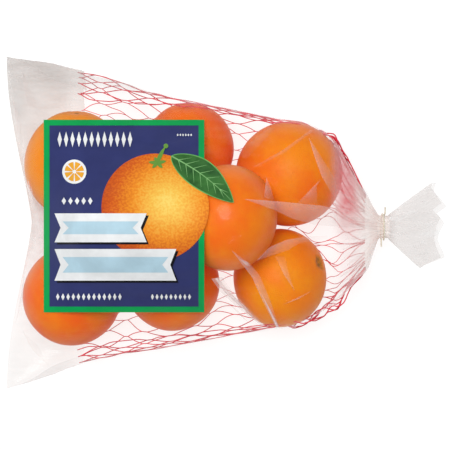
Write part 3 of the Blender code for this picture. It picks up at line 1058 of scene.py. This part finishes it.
class ORANGEBAG_OT_film(bpy.types.Operator):
    """Add the clear film, with its seal, shoulder pleats, neck, tail and folds"""

    bl_idname = "orangebag.film"
    bl_label = "Film"

    def execute(self, context):
        settings = context.scene.orange_film
        body = body_rings(settings)
        tail = tail_rings(settings)
        stand_off = slack(body)
        # past the net's window the film is the outermost layer
        share = mix(FILM_SLACK, 1.0, ease((body[..., 0] - WINDOW_NECK_X + 0.007) / 0.010))
        film_body = pressed_in(body, -share * stand_off)
        rings = np.concatenate([crinkled(film_body, settings), tail])
        rows, columns = rings.shape[:2]
        gone = window_faces(rings)
        every = grid_faces(rows, columns, closed=True)
        whole = BVHTree.FromPolygons([tuple(p) for p in rings.reshape(-1, 3)], every)
        faces = [face for n, face in enumerate(every) if not gone[n // columns, n % columns]]
        points = list(rings.reshape(-1, 3))
        looks = dict(zip(FILM_LOOKS, film_cover(rings, settings.haze)))
        looks = {name: list(values.reshape(-1)) for name, values in looks.items()}
        patches = [fold_grid(fold, whole) for fold in FOLDS]
        for angle, start, width, hides in gathers():
            grid = gather_grid(body, angle, start, width)
            patches.append((grid, np.full(grid.shape[:2], hides)))
        for grid, hides in patches:
            faces += grid_faces(*grid.shape[:2], first=len(points))
            points.extend(grid.reshape(-1, 3))
            looks["cover"].extend(hides.reshape(-1))
            looks["white"].extend(np.ones(hides.size))
            looks["rosy"].extend(np.zeros(hides.size))
            looks["pale"].extend(np.zeros(hides.size))
        used = sorted({index for face in faces for index in face})
        renumbered = {old: new for new, old in enumerate(used)}
        points = [points[index] for index in used]
        faces = [[renumbered[index] for index in face] for face in faces]
        film = add_piece("film", points, faces, film_material(settings))
        for name, values in looks.items():
            store(film, name, [values[index] for index in used])
        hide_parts("bag")
        Bag.rings = pressed_in(body, -stand_off)
        Bag.surface = whole
        return {"FINISHED"}


# ---------------------------------------------------------------- net


def net_sheet(rings, columns=240):
    """The bag's back and sides as an open grid: from its far edge, under the bag, to its near edge."""
    angles = ring_angles()
    turn = np.mod(NET_EDGE_ANGLE - angles, math.tau)
    order = np.argsort(turn)
    order = order[turn[order] < math.pi + 2 * NET_EDGE_ANGLE]
    middle_x = rings[..., 0].mean(axis=1)
    inside = (middle_x > WINDOW_SEAL_X - 0.002) & (middle_x < WINDOW_NECK_X + 0.003)
    back = rings[inside][:, order]
    sheet = []
    for row in back:
        length = np.concatenate([[0.0], np.cumsum(np.linalg.norm(np.diff(row, axis=0), axis=1))])
        even = np.linspace(0.0, length[-1], columns)
        sheet.append(np.stack([np.interp(even, length, row[:, k]) for k in range(3)], axis=1))
    return np.array(sheet)


def sample(sheet, u, v):
    """Points of a grid at places from 0 to 1 in both directions."""
    rows, columns = sheet.shape[:2]
    u = np.clip(u, 0, 1) * (rows - 1)
    v = np.clip(v, 0, 1) * (columns - 1)
    i = np.minimum(u.astype(int), rows - 2)
    j = np.minimum(v.astype(int), columns - 2)
    a = (u - i)[:, None]
    b = (v - j)[:, None]
    near = mix(sheet[i, j], sheet[i, j + 1], b)
    far = mix(sheet[i + 1, j], sheet[i + 1, j + 1], b)
    return mix(near, far, a)


def noise_along(along, across, layer):
    """Noise for each place on a thread, from its place along and across the net."""
    return np.array([noise.noise(Vector((a, b, layer))) for a, b in zip(along, across)])


def net_routes(sheet, settings):
    """The threads of the net: zigzags side by side, joined where their flat peaks meet."""
    normals = -grid_normals(sheet)
    x = sheet[..., 0].mean(axis=1)
    along = np.linspace(0.0, 1.0, 116)
    # even steps along the bag, whatever the spacing of the film's rings
    u = np.interp(mix(x[0], x[-1], along), x, np.linspace(0.0, 1.0, len(x)))
    length = x[-1] - x[0]
    cell = 1.0 / settings.strands
    routes, route_normals, radii = [], [], []
    for strand in range(settings.strands + 1):
        phase = along * length / settings.cell_length + 0.5 * strand
        wave = 4 * np.abs(phase - np.floor(phase) - 0.5) - 1
        flat_wave = np.clip(1.3 * wave, -1, 1)
        v = (strand + 0.5 * flat_wave) * cell
        warp = noise_along(9 * along, 14 * v, 2.0)
        loose = 0.5 + 0.5 * noise_along(13 * along, 22 * v, 6.0)
        drift = noise_along(7 * along, 10 * v, 11.0)
        at_shoulder = ease((along - 0.55) / 0.3)
        v = v + mix(1.2, 3.8, at_shoulder) * cell * warp * ease(4 * v) * ease(4 * (1 - v))
        # towards the neck the net gathers into a few bunches, with open cells between them
        v = np.clip(v, 0.0, 1.0) ** mix(1.0, 1.25, at_shoulder)
        v = v + at_shoulder * BUNCH_DEPTH * np.sin(math.tau * BUNCHES * v) * ease(8 * v) * ease(8 * (1 - v))
        u_here = np.clip(u + 0.018 * drift * ease(8 * along) * ease(8 * (1 - along)), 0, 1)
        route = sample(sheet, u_here, v)
        normal = sample(normals, u_here, v)
        normal /= np.maximum(np.linalg.norm(normal, axis=1, keepdims=True), 1e-9)
        side = ease((np.abs(2 * v - 1) - 0.45) / 0.35)
        # loose loops stand off both sides of the shoulder, the near side's the most
        loop = FAR_LOOPS if strand < settings.strands / 2 else NEAR_LOOPS
        loop = loop * side * ease((along - 0.60) / 0.2) * ease((1.0 - along) / 0.08)
        off = settings.thread * 0.55 + 0.0009 * loose + loop * np.maximum(loose - 0.35, 0.0)
        route = route + normal * off[:, None]
        route[:, 2] = np.maximum(route[:, 2], settings.thread * 0.5)
        routes.append(route)
        route_normals.append(normal)
        radii.append(settings.thread / 2 * (1 + mix(0.5, 0.9, at_shoulder) * side))
    return routes, route_normals, radii


def net_material(settings):
    """Red extruded thread with a soft gloss."""
    shader = Shader("red_net")
    colour = tuple(settings.colour)
    shade = shader.clouds(0.012, detail=2.0).between(0.3, 0.7)
    surface = shader.surface({
        "Base Color": shader.blend(shade, tuple(0.72 * part for part in colour), colour),
        "Roughness": 0.36 + 0.1 * shade,
        "Normal": shader.bump(shader.clouds(0.0009, detail=1.0), 0.0001, 0.4),
    })
    return shader.finish(surface)


class ORANGEBAG_OT_net(bpy.types.Operator):
    """Add the red net that closes the back and wraps round the sides"""

    bl_idname = "orangebag.net"
    bl_label = "Net"

    def execute(self, context):
        settings = context.scene.orange_net
        sheet = net_sheet(Bag.rings)
        points, faces = thread_mesh(*net_routes(sheet, settings), sides=5)
        add_piece("net", points, faces, net_material(settings))
        return {"FINISHED"}


# ---------------------------------------------------------------- print


PRINT_CENTRE = (-0.0758, 0.0047)
PRINT_VIEW_HEIGHT = 0.100
INK_STEP = 0.00018


def on_film(points, level, camera_height):
    """Lays flat shapes on the film. They keep their outline as seen from above the middle of the bag."""
    eye = Vector((0.0, 0.0, camera_height))
    placed = []
    for x, y in points:
        target = Vector((x, y, PRINT_VIEW_HEIGHT))
        way = (target - eye).normalized()
        hit = Bag.surface.ray_cast(eye, way)[0]
        if hit is None:
            raise RuntimeError("the print runs off the film")
        placed.append(hit - way * (0.0004 + INK_STEP * level))
    return placed


def panel_point(x, y, settings):
    """A place on the printed panel, from its lower corner at the seal, as a place on the bag."""
    return (
        PRINT_CENTRE[0] - settings.width / 2 + x,
        PRINT_CENTRE[1] - settings.height / 2 + y,
    )


def rectangle(x0, y0, x1, y1, step=0.0018):
    """Points and faces of a flat rectangle, as a grid."""
    columns = max(2, int(math.ceil((x1 - x0) / step)) + 1)
    rows = max(2, int(math.ceil((y1 - y0) / step)) + 1)
    points = [
        (mix(x0, x1, j / (columns - 1)), mix(y0, y1, i / (rows - 1)))
        for i in range(rows) for j in range(columns)
    ]
    return points, grid_faces(rows, columns)


def ribbon(x0, y0, x1, y1, notch=0.0045, steps=64, across=17):
    """Points and faces of a flat band with a notch in each end."""
    points = []
    for i in range(steps):
        for j in range(across):
            side = abs(2 * j / (across - 1) - 1)
            start, end = x0 + notch * (1 - side), x1 - notch * (1 - side)
            points.append((mix(start, end, i / (steps - 1)), mix(y0, y1, j / (across - 1))))
    return points, grid_faces(steps, across)


def diamonds(start, end, middle, half_height, count):
    """A row of plain upright diamonds, as points and faces for each."""
    pitch = (end - start) / count
    half_width = min(0.34 * pitch, half_height)
    for k in range(count):
        x = start + (k + 0.5) * pitch
        low, high = middle - half_height, middle + half_height
        yield [(x - half_width, middle), (x, low), (x + half_width, middle), (x, high)], [(0, 1, 2, 3)]


def disc(x, y, radius, rings=22, segments=72, inner=0.0, start=0.0, turn=math.tau):
    """Points and faces of a flat disc, ring or wedge."""
    closed = abs(turn - math.tau) < 1e-6
    columns = segments if closed else segments + 1
    points = []
    for i in range(rings + 1):
        reach = mix(inner, radius, max(i / rings, 0.0 if inner else 1e-4))
        for j in range(columns):
            angle = start + turn * j / segments
            points.append((x + reach * math.cos(angle), y + reach * math.sin(angle)))
    return points, grid_faces(rings + 1, columns, closed=closed)


def leaf_shape(base, tip, width, lean, steps=36, across=12):
    """Points and faces of a pointed leaf with a curved middle."""
    base, tip = np.array(base), np.array(tip)
    ahead = tip - base
    side = np.array([-ahead[1], ahead[0]]) / np.linalg.norm(ahead)
    points = []
    for i in range(steps):
        share = i / (steps - 1)
        half = 0.5 * width * math.sin(math.pi * share ** 0.85) ** 0.8 + 1e-5
        for j in range(across):
            offset = half * (2 * j / (across - 1) - 1) + lean * math.sin(math.pi * share)
            points.append(tuple(base + ahead * share + side * offset))
    return points, grid_faces(steps, across)


def joined(shapes):
    """Several flat shapes as one."""
    points, faces = [], []
    for shape_points, shape_faces in shapes:
        first = len(points)
        points += shape_points
        faces += [tuple(first + index for index in face) for face in shape_faces]
    return points, faces


def ink_material(name, colour, deep=None):
    """Glossy ink on film, a little uneven."""
    shader = Shader(name)
    uneven = shader.clouds(0.02, detail=3.0, roughness=0.6).between(0.3, 0.75)
    deep = deep or tuple(0.86 * part for part in colour)
    surface = shader.surface({
        "Base Color": shader.blend(uneven, deep, tuple(colour)),
        "Roughness": 0.50 + 0.1 * uneven,
        "Normal": shader.bump(shader.clouds(0.012, detail=3.0), 0.0006, 0.25),
        "Specular IOR Level": 0.10,
    })
    return shader.finish(surface)


def printed_fruit_material(middle, radius):
    """The printed fruit: yellow in its light, deep orange at its rim, with a stippled peel."""
    shader = Shader("ink_fruit")
    away = shader.node("ShaderNodeVectorMath", {"operation": "SUBTRACT"}, {0: shader.place(), 1: middle})
    flat = shader.node("ShaderNodeVectorMath", {"operation": "MULTIPLY"}, {0: away, 1: (1.0, 1.0, 0.0)})
    distance = shader.node("ShaderNodeVectorMath", {"operation": "LENGTH"}, {0: flat}, output="Value")
    stipple = shader.clouds(0.0016, detail=1.0).between(0.3, 0.7) - 0.5
    share = (distance * (1 / radius) + 0.16 * stipple).clamped()
    stops = [
        (0.0, (0.95, 0.68, 0.15)),
        (0.20, (0.93, 0.54, 0.08)),
        (0.50, (0.88, 0.29, 0.022)),
        (0.78, (0.66, 0.115, 0.014)),
        (1.0, (0.48, 0.065, 0.014)),
    ]
    ramp = shader.node("ShaderNodeValToRGB", {"stops": stops}, {"Fac": share})
    surface = shader.surface({"Base Color": ramp, "Roughness": 0.5, "Specular IOR Level": 0.10})
    return shader.finish(surface)


class ORANGEBAG_OT_print(bpy.types.Operator):
    """Add the printed panel: border, field, a plain round fruit with a leaf, and plain ribbons"""

    bl_idname = "orangebag.print"
    bl_label = "Print"

    def add(self, context, name, shape, level, material):
        """Lays one flat shape of the panel on the film."""
        settings = context.scene.orange_print
        points, faces = shape
        flat = [panel_point(x, y, settings) for x, y in points]
        placed = on_film(flat, level, context.scene.orange_stage.camera_height)
        return add_piece("print_" + name, placed, faces, material)

    def execute(self, context):
        settings = context.scene.orange_print
        width, height, edge = settings.width, settings.height, settings.border_width
        border = joined([
            rectangle(0, 0, width, edge),
            rectangle(0, height - edge, width, height),
            rectangle(0, edge, edge, height - edge),
            rectangle(width - edge, edge, width, height - edge),
        ])
        self.add(context, "border", border, 1, ink_material("ink_green", settings.border))
        field = rectangle(edge, edge, width - edge, height - edge)
        self.add(context, "field", field, 0, ink_material("ink_navy", settings.field))
        self.add_fruit(context)
        self.add_ribbons(context)
        return {"FINISHED"}

    def add_fruit(self, context):
        settings = context.scene.orange_print
        x, y, radius = 0.0828, 0.0780, 0.0400
        light = panel_point(x + 0.010, y + 0.004, settings)
        material = printed_fruit_material((*light, 0.0), radius * 1.30)
        self.add(context, "fruit", disc(x, y, radius), 3, material)
        leaf = leaf_shape((0.0950, 0.1160), (0.1405, 0.0820), 0.0205, 0.0025)
        pale_leaf = (0.16, 0.48, 0.12)
        edge_leaf = leaf_shape((0.0945, 0.1163), (0.1412, 0.0815), 0.0222, 0.0025)
        self.add(context, "leaf_edge", edge_leaf, 4, ink_material("ink_leaf_edge", pale_leaf))
        self.add(context, "leaf", leaf, 5, ink_material("ink_leaf", settings.leaf, (0.055, 0.20, 0.045)))
        veins = self.leaf_veins((0.0950, 0.1160), (0.1405, 0.0820), 0.0205, 0.0025)
        self.add(context, "leaf_veins", veins, 6, ink_material("ink_leaf_vein", (0.25, 0.55, 0.20)))
        stalk = leaf_shape((0.0835, 0.1085), (0.0905, 0.1235), 0.0030, 0.0006, steps=14, across=5)
        crown = joined([
            leaf_shape((0.0845, 0.1110), (0.0845 + 0.0068 * math.cos(a), 0.1110 + 0.0046 * math.sin(a)),
                       0.0026, 0.0, steps=10, across=5)
            for a in (0.3, 1.9, 3.0, 4.1, 5.3)
        ])
        stalk_top = disc(0.0907, 0.1236, 0.0018, rings=4, segments=16)
        green = ink_material("ink_stalk", (0.16, 0.36, 0.06))
        self.add(context, "stalk", joined([stalk, crown, stalk_top]), 5, green)

    def leaf_veins(self, base, tip, width, lean):
        """A middle rib and side veins that sweep towards the tip."""
        base, tip = np.array(base), np.array(tip)
        ahead = tip - base
        length = np.linalg.norm(ahead)
        side = np.array([-ahead[1], ahead[0]]) / length
        shapes = []

        def rib(share, offset):
            return base + ahead * share + side * (offset + lean * math.sin(math.pi * share))

        def stroke(route, thick):
            points = []
            for k, point in enumerate(route):
                way = route[min(k + 1, len(route) - 1)] - route[max(k - 1, 0)]
                across = np.array([-way[1], way[0]]) / max(np.linalg.norm(way), 1e-9)
                taper = thick * (1 - 0.8 * k / (len(route) - 1))
                points.append(tuple(point - across * taper / 2))
                points.append(tuple(point + across * taper / 2))
            return points, grid_faces(len(route), 2)

        shapes.append(stroke([rib(s, 0.0) for s in np.linspace(0.0, 0.97, 22)], 0.0010))
        for k in range(7):
            start = 0.10 + 0.11 * k
            for sign in (-1, 1):
                reach = 0.40 * width * math.sin(math.pi * min(0.98, start + 0.12) ** 0.85)
                route = [rib(start + 0.12 * s, sign * reach * s) for s in np.linspace(0.0, 1.0, 8)]
                shapes.append(stroke(route, 0.00055))
        return joined(shapes)

    def add_ribbons(self, context):
        settings = context.scene.orange_print
        pale = ink_material("ink_pale", settings.pale)
        white = ink_material("ink_white", (0.93, 0.95, 0.96))
        dark = ink_material("ink_dark", (0.008, 0.008, 0.012))
        ribbons = [(0.0080, 0.0520, 0.0765, 0.0735), (0.0080, 0.0235, 0.0985, 0.0470)]
        shade = 0.0016
        shadows = joined([
            ribbon(x0 + shade, y0 - shade, x1 + shade, y1 - shade) for x0, y0, x1, y1 in ribbons
        ])
        self.add(context, "ribbon_shadows", shadows, 4, dark)
        self.add(context, "ribbons", joined([ribbon(*place) for place in ribbons]), 5, white)
        inner = [(x0 + 0.006, y0 + 0.006, x1 - 0.006, y1 - 0.006) for x0, y0, x1, y1 in ribbons]
        self.add(context, "ribbon_middles", joined([ribbon(*place) for place in inner]), 6, pale)
        # rows: start, end, height of its middle, half height of a diamond, number of diamonds
        rows = [
            (0.0095, 0.0665, 0.1285, 0.0058, 12),
            (0.0985, 0.1105, 0.1318, 0.0010, 6),
            (0.0125, 0.0370, 0.0827, 0.0028, 5),
            (0.0085, 0.0585, 0.0115, 0.0026, 13),
            (0.0790, 0.1100, 0.0115, 0.0022, 9),
        ]
        self.add(context, "rows", joined([row for place in rows for row in diamonds(*place)]), 5, white)
        x, y = 0.0227, 0.1045
        self.add(context, "roundel", disc(x, y, 0.0090, rings=5, segments=48), 3, white)
        amber = ink_material("ink_amber", (0.90, 0.42, 0.04))
        slices = joined([
            disc(x, y, 0.0072, rings=6, segments=8, inner=0.0014,
                 start=math.tau * k / 8 + 0.09, turn=math.tau / 8 - 0.18)
            for k in range(8)
        ])
        self.add(context, "roundel_segments", slices, 4, amber)


# ---------------------------------------------------------------- tie


class ORANGEBAG_OT_tie(bpy.types.Operator):
    """Give the wire tie its pale coated finish"""

    bl_idname = "orangebag.tie"
    bl_label = "Tie"

    def execute(self, context):
        shader = Shader("coated_wire")
        wear = shader.clouds(0.0035, detail=3.0, roughness=0.7).between(0.55, 0.75)
        surface = shader.surface({
            "Base Color": shader.blend(wear, (0.80, 0.76, 0.62), (0.30, 0.28, 0.24)),
            "Roughness": 0.38 + 0.2 * wear,
            "Normal": shader.bump(shader.clouds(0.0006, detail=2.0), 0.0001, 0.4),
        })
        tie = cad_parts["tie"]
        tie.data.materials.clear()
        tie.data.materials.append(shader.finish(surface))
        return {"FINISHED"}


# ---------------------------------------------------------------- stage


def add_light(name, place, target, size, power, colour=(1.0, 1.0, 1.0)):
    """A soft rectangular light that faces its target."""
    lamp = bpy.data.lights.new(name, "AREA")
    lamp.shape = "RECTANGLE"
    lamp.size, lamp.size_y = size
    lamp.energy = power
    lamp.color = colour
    light = bpy.data.objects.new(name, lamp)
    light.location = place
    light.rotation_euler = (Vector(target) - Vector(place)).to_track_quat("-Z", "Y").to_euler()
    bpy.context.scene.collection.objects.link(light)
    return light


class ORANGEBAG_OT_stage(bpy.types.Operator):
    """Add the floor, the studio light and the camera"""

    bl_idname = "orangebag.stage"
    bl_label = "Stage"

    def execute(self, context):
        settings = context.scene.orange_stage
        scene = context.scene
        shader = Shader("white_floor")
        surface = shader.surface({
            "Base Color": (0.26, 0.26, 0.26),
            "Roughness": 0.9,
            "Specular IOR Level": 0.1,
            "Emission Color": (1.0, 1.0, 1.0),
            "Emission Strength": settings.floor_glow,
        })
        mesh = bpy.data.meshes.new("floor")
        size = 3.0
        corners = [(-size, -size, 0), (size, -size, 0), (size, size, 0), (-size, size, 0)]
        mesh.from_pydata([(x, y, -0.0005) for x, y, _ in corners], [], [(0, 1, 2, 3)])
        mesh.materials.append(shader.finish(surface))
        floor = bpy.data.objects.new("floor", mesh)
        scene.collection.objects.link(floor)
        floor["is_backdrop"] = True

        world = bpy.data.worlds.new("surround")
        world.use_nodes = True
        background = world.node_tree.nodes["Background"]
        background.inputs["Color"].default_value = (1.0, 1.0, 1.0, 1.0)
        background.inputs["Strength"].default_value = settings.surround
        scene.world = world
        scene.view_settings.view_transform = "Standard"

        middle = (0.0, 0.0, 0.05)
        add_light("key", (-0.22, 0.38, 1.78), middle, (0.9, 0.9), settings.key_power)
        add_light("strip_near", (0.45, -1.05, 1.1), middle, (0.9, 0.12), 0.6 * settings.fill_power)
        add_light("strip_seal", (-1.15, -0.10, 0.9), (-0.05, 0.0, 0.05), (0.12, 0.9), settings.fill_power)

        lens = bpy.data.cameras.new("camera")
        lens.sensor_fit = "HORIZONTAL"
        lens.angle = 2 * math.atan(settings.view_width / 2 / settings.camera_height)
        lens.clip_start = 0.05
        camera = bpy.data.objects.new("camera", lens)
        camera.location = (-0.0008, -0.0020, settings.camera_height)
        scene.collection.objects.link(camera)
        scene.camera = camera
        return {"FINISHED"}


# ---------------------------------------------------------------- panel and registration


OPERATORS = (
    ORANGEBAG_OT_fruit,
    ORANGEBAG_OT_film,
    ORANGEBAG_OT_net,
    ORANGEBAG_OT_print,
    ORANGEBAG_OT_tie,
    ORANGEBAG_OT_stage,
)


class ORANGEBAG_PT_panel(bpy.types.Panel):
    """Lists the pieces of the bag and their settings"""

    bl_idname = "ORANGEBAG_PT_panel"
    bl_label = "Orange bag"
    bl_space_type = "VIEW_3D"
    bl_region_type = "UI"
    bl_category = "Orange bag"

    def draw(self, context):
        for operator in OPERATORS:
            self.layout.operator(operator.bl_idname)
        for name, group in SETTINGS.items():
            box = self.layout.box()
            for setting in group.__annotations__:
                box.prop(getattr(context.scene, name), setting)


def register():
    for group in SETTINGS.values():
        bpy.utils.register_class(group)
    for operator in OPERATORS:
        bpy.utils.register_class(operator)
    bpy.utils.register_class(ORANGEBAG_PT_panel)
    for name, group in SETTINGS.items():
        setattr(bpy.types.Scene, name, bpy.props.PointerProperty(type=group))


def unregister():
    for name in SETTINGS:
        delattr(bpy.types.Scene, name)
    bpy.utils.unregister_class(ORANGEBAG_PT_panel)
    for operator in reversed(OPERATORS):
        bpy.utils.unregister_class(operator)
    for group in reversed(list(SETTINGS.values())):
        bpy.utils.unregister_class(group)


def main():
    register()
    bpy.ops.orangebag.fruit()
    bpy.ops.orangebag.film()
    bpy.ops.orangebag.net()
    bpy.ops.orangebag.print()
    bpy.ops.orangebag.tie()
    bpy.ops.orangebag.stage()
    boxes = {"cad": CAD_BOX, "visual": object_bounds()}
    {key: [list(corner) for corner in box] for key, box in boxes.items()}


if __name__ == "__main__":
    main()
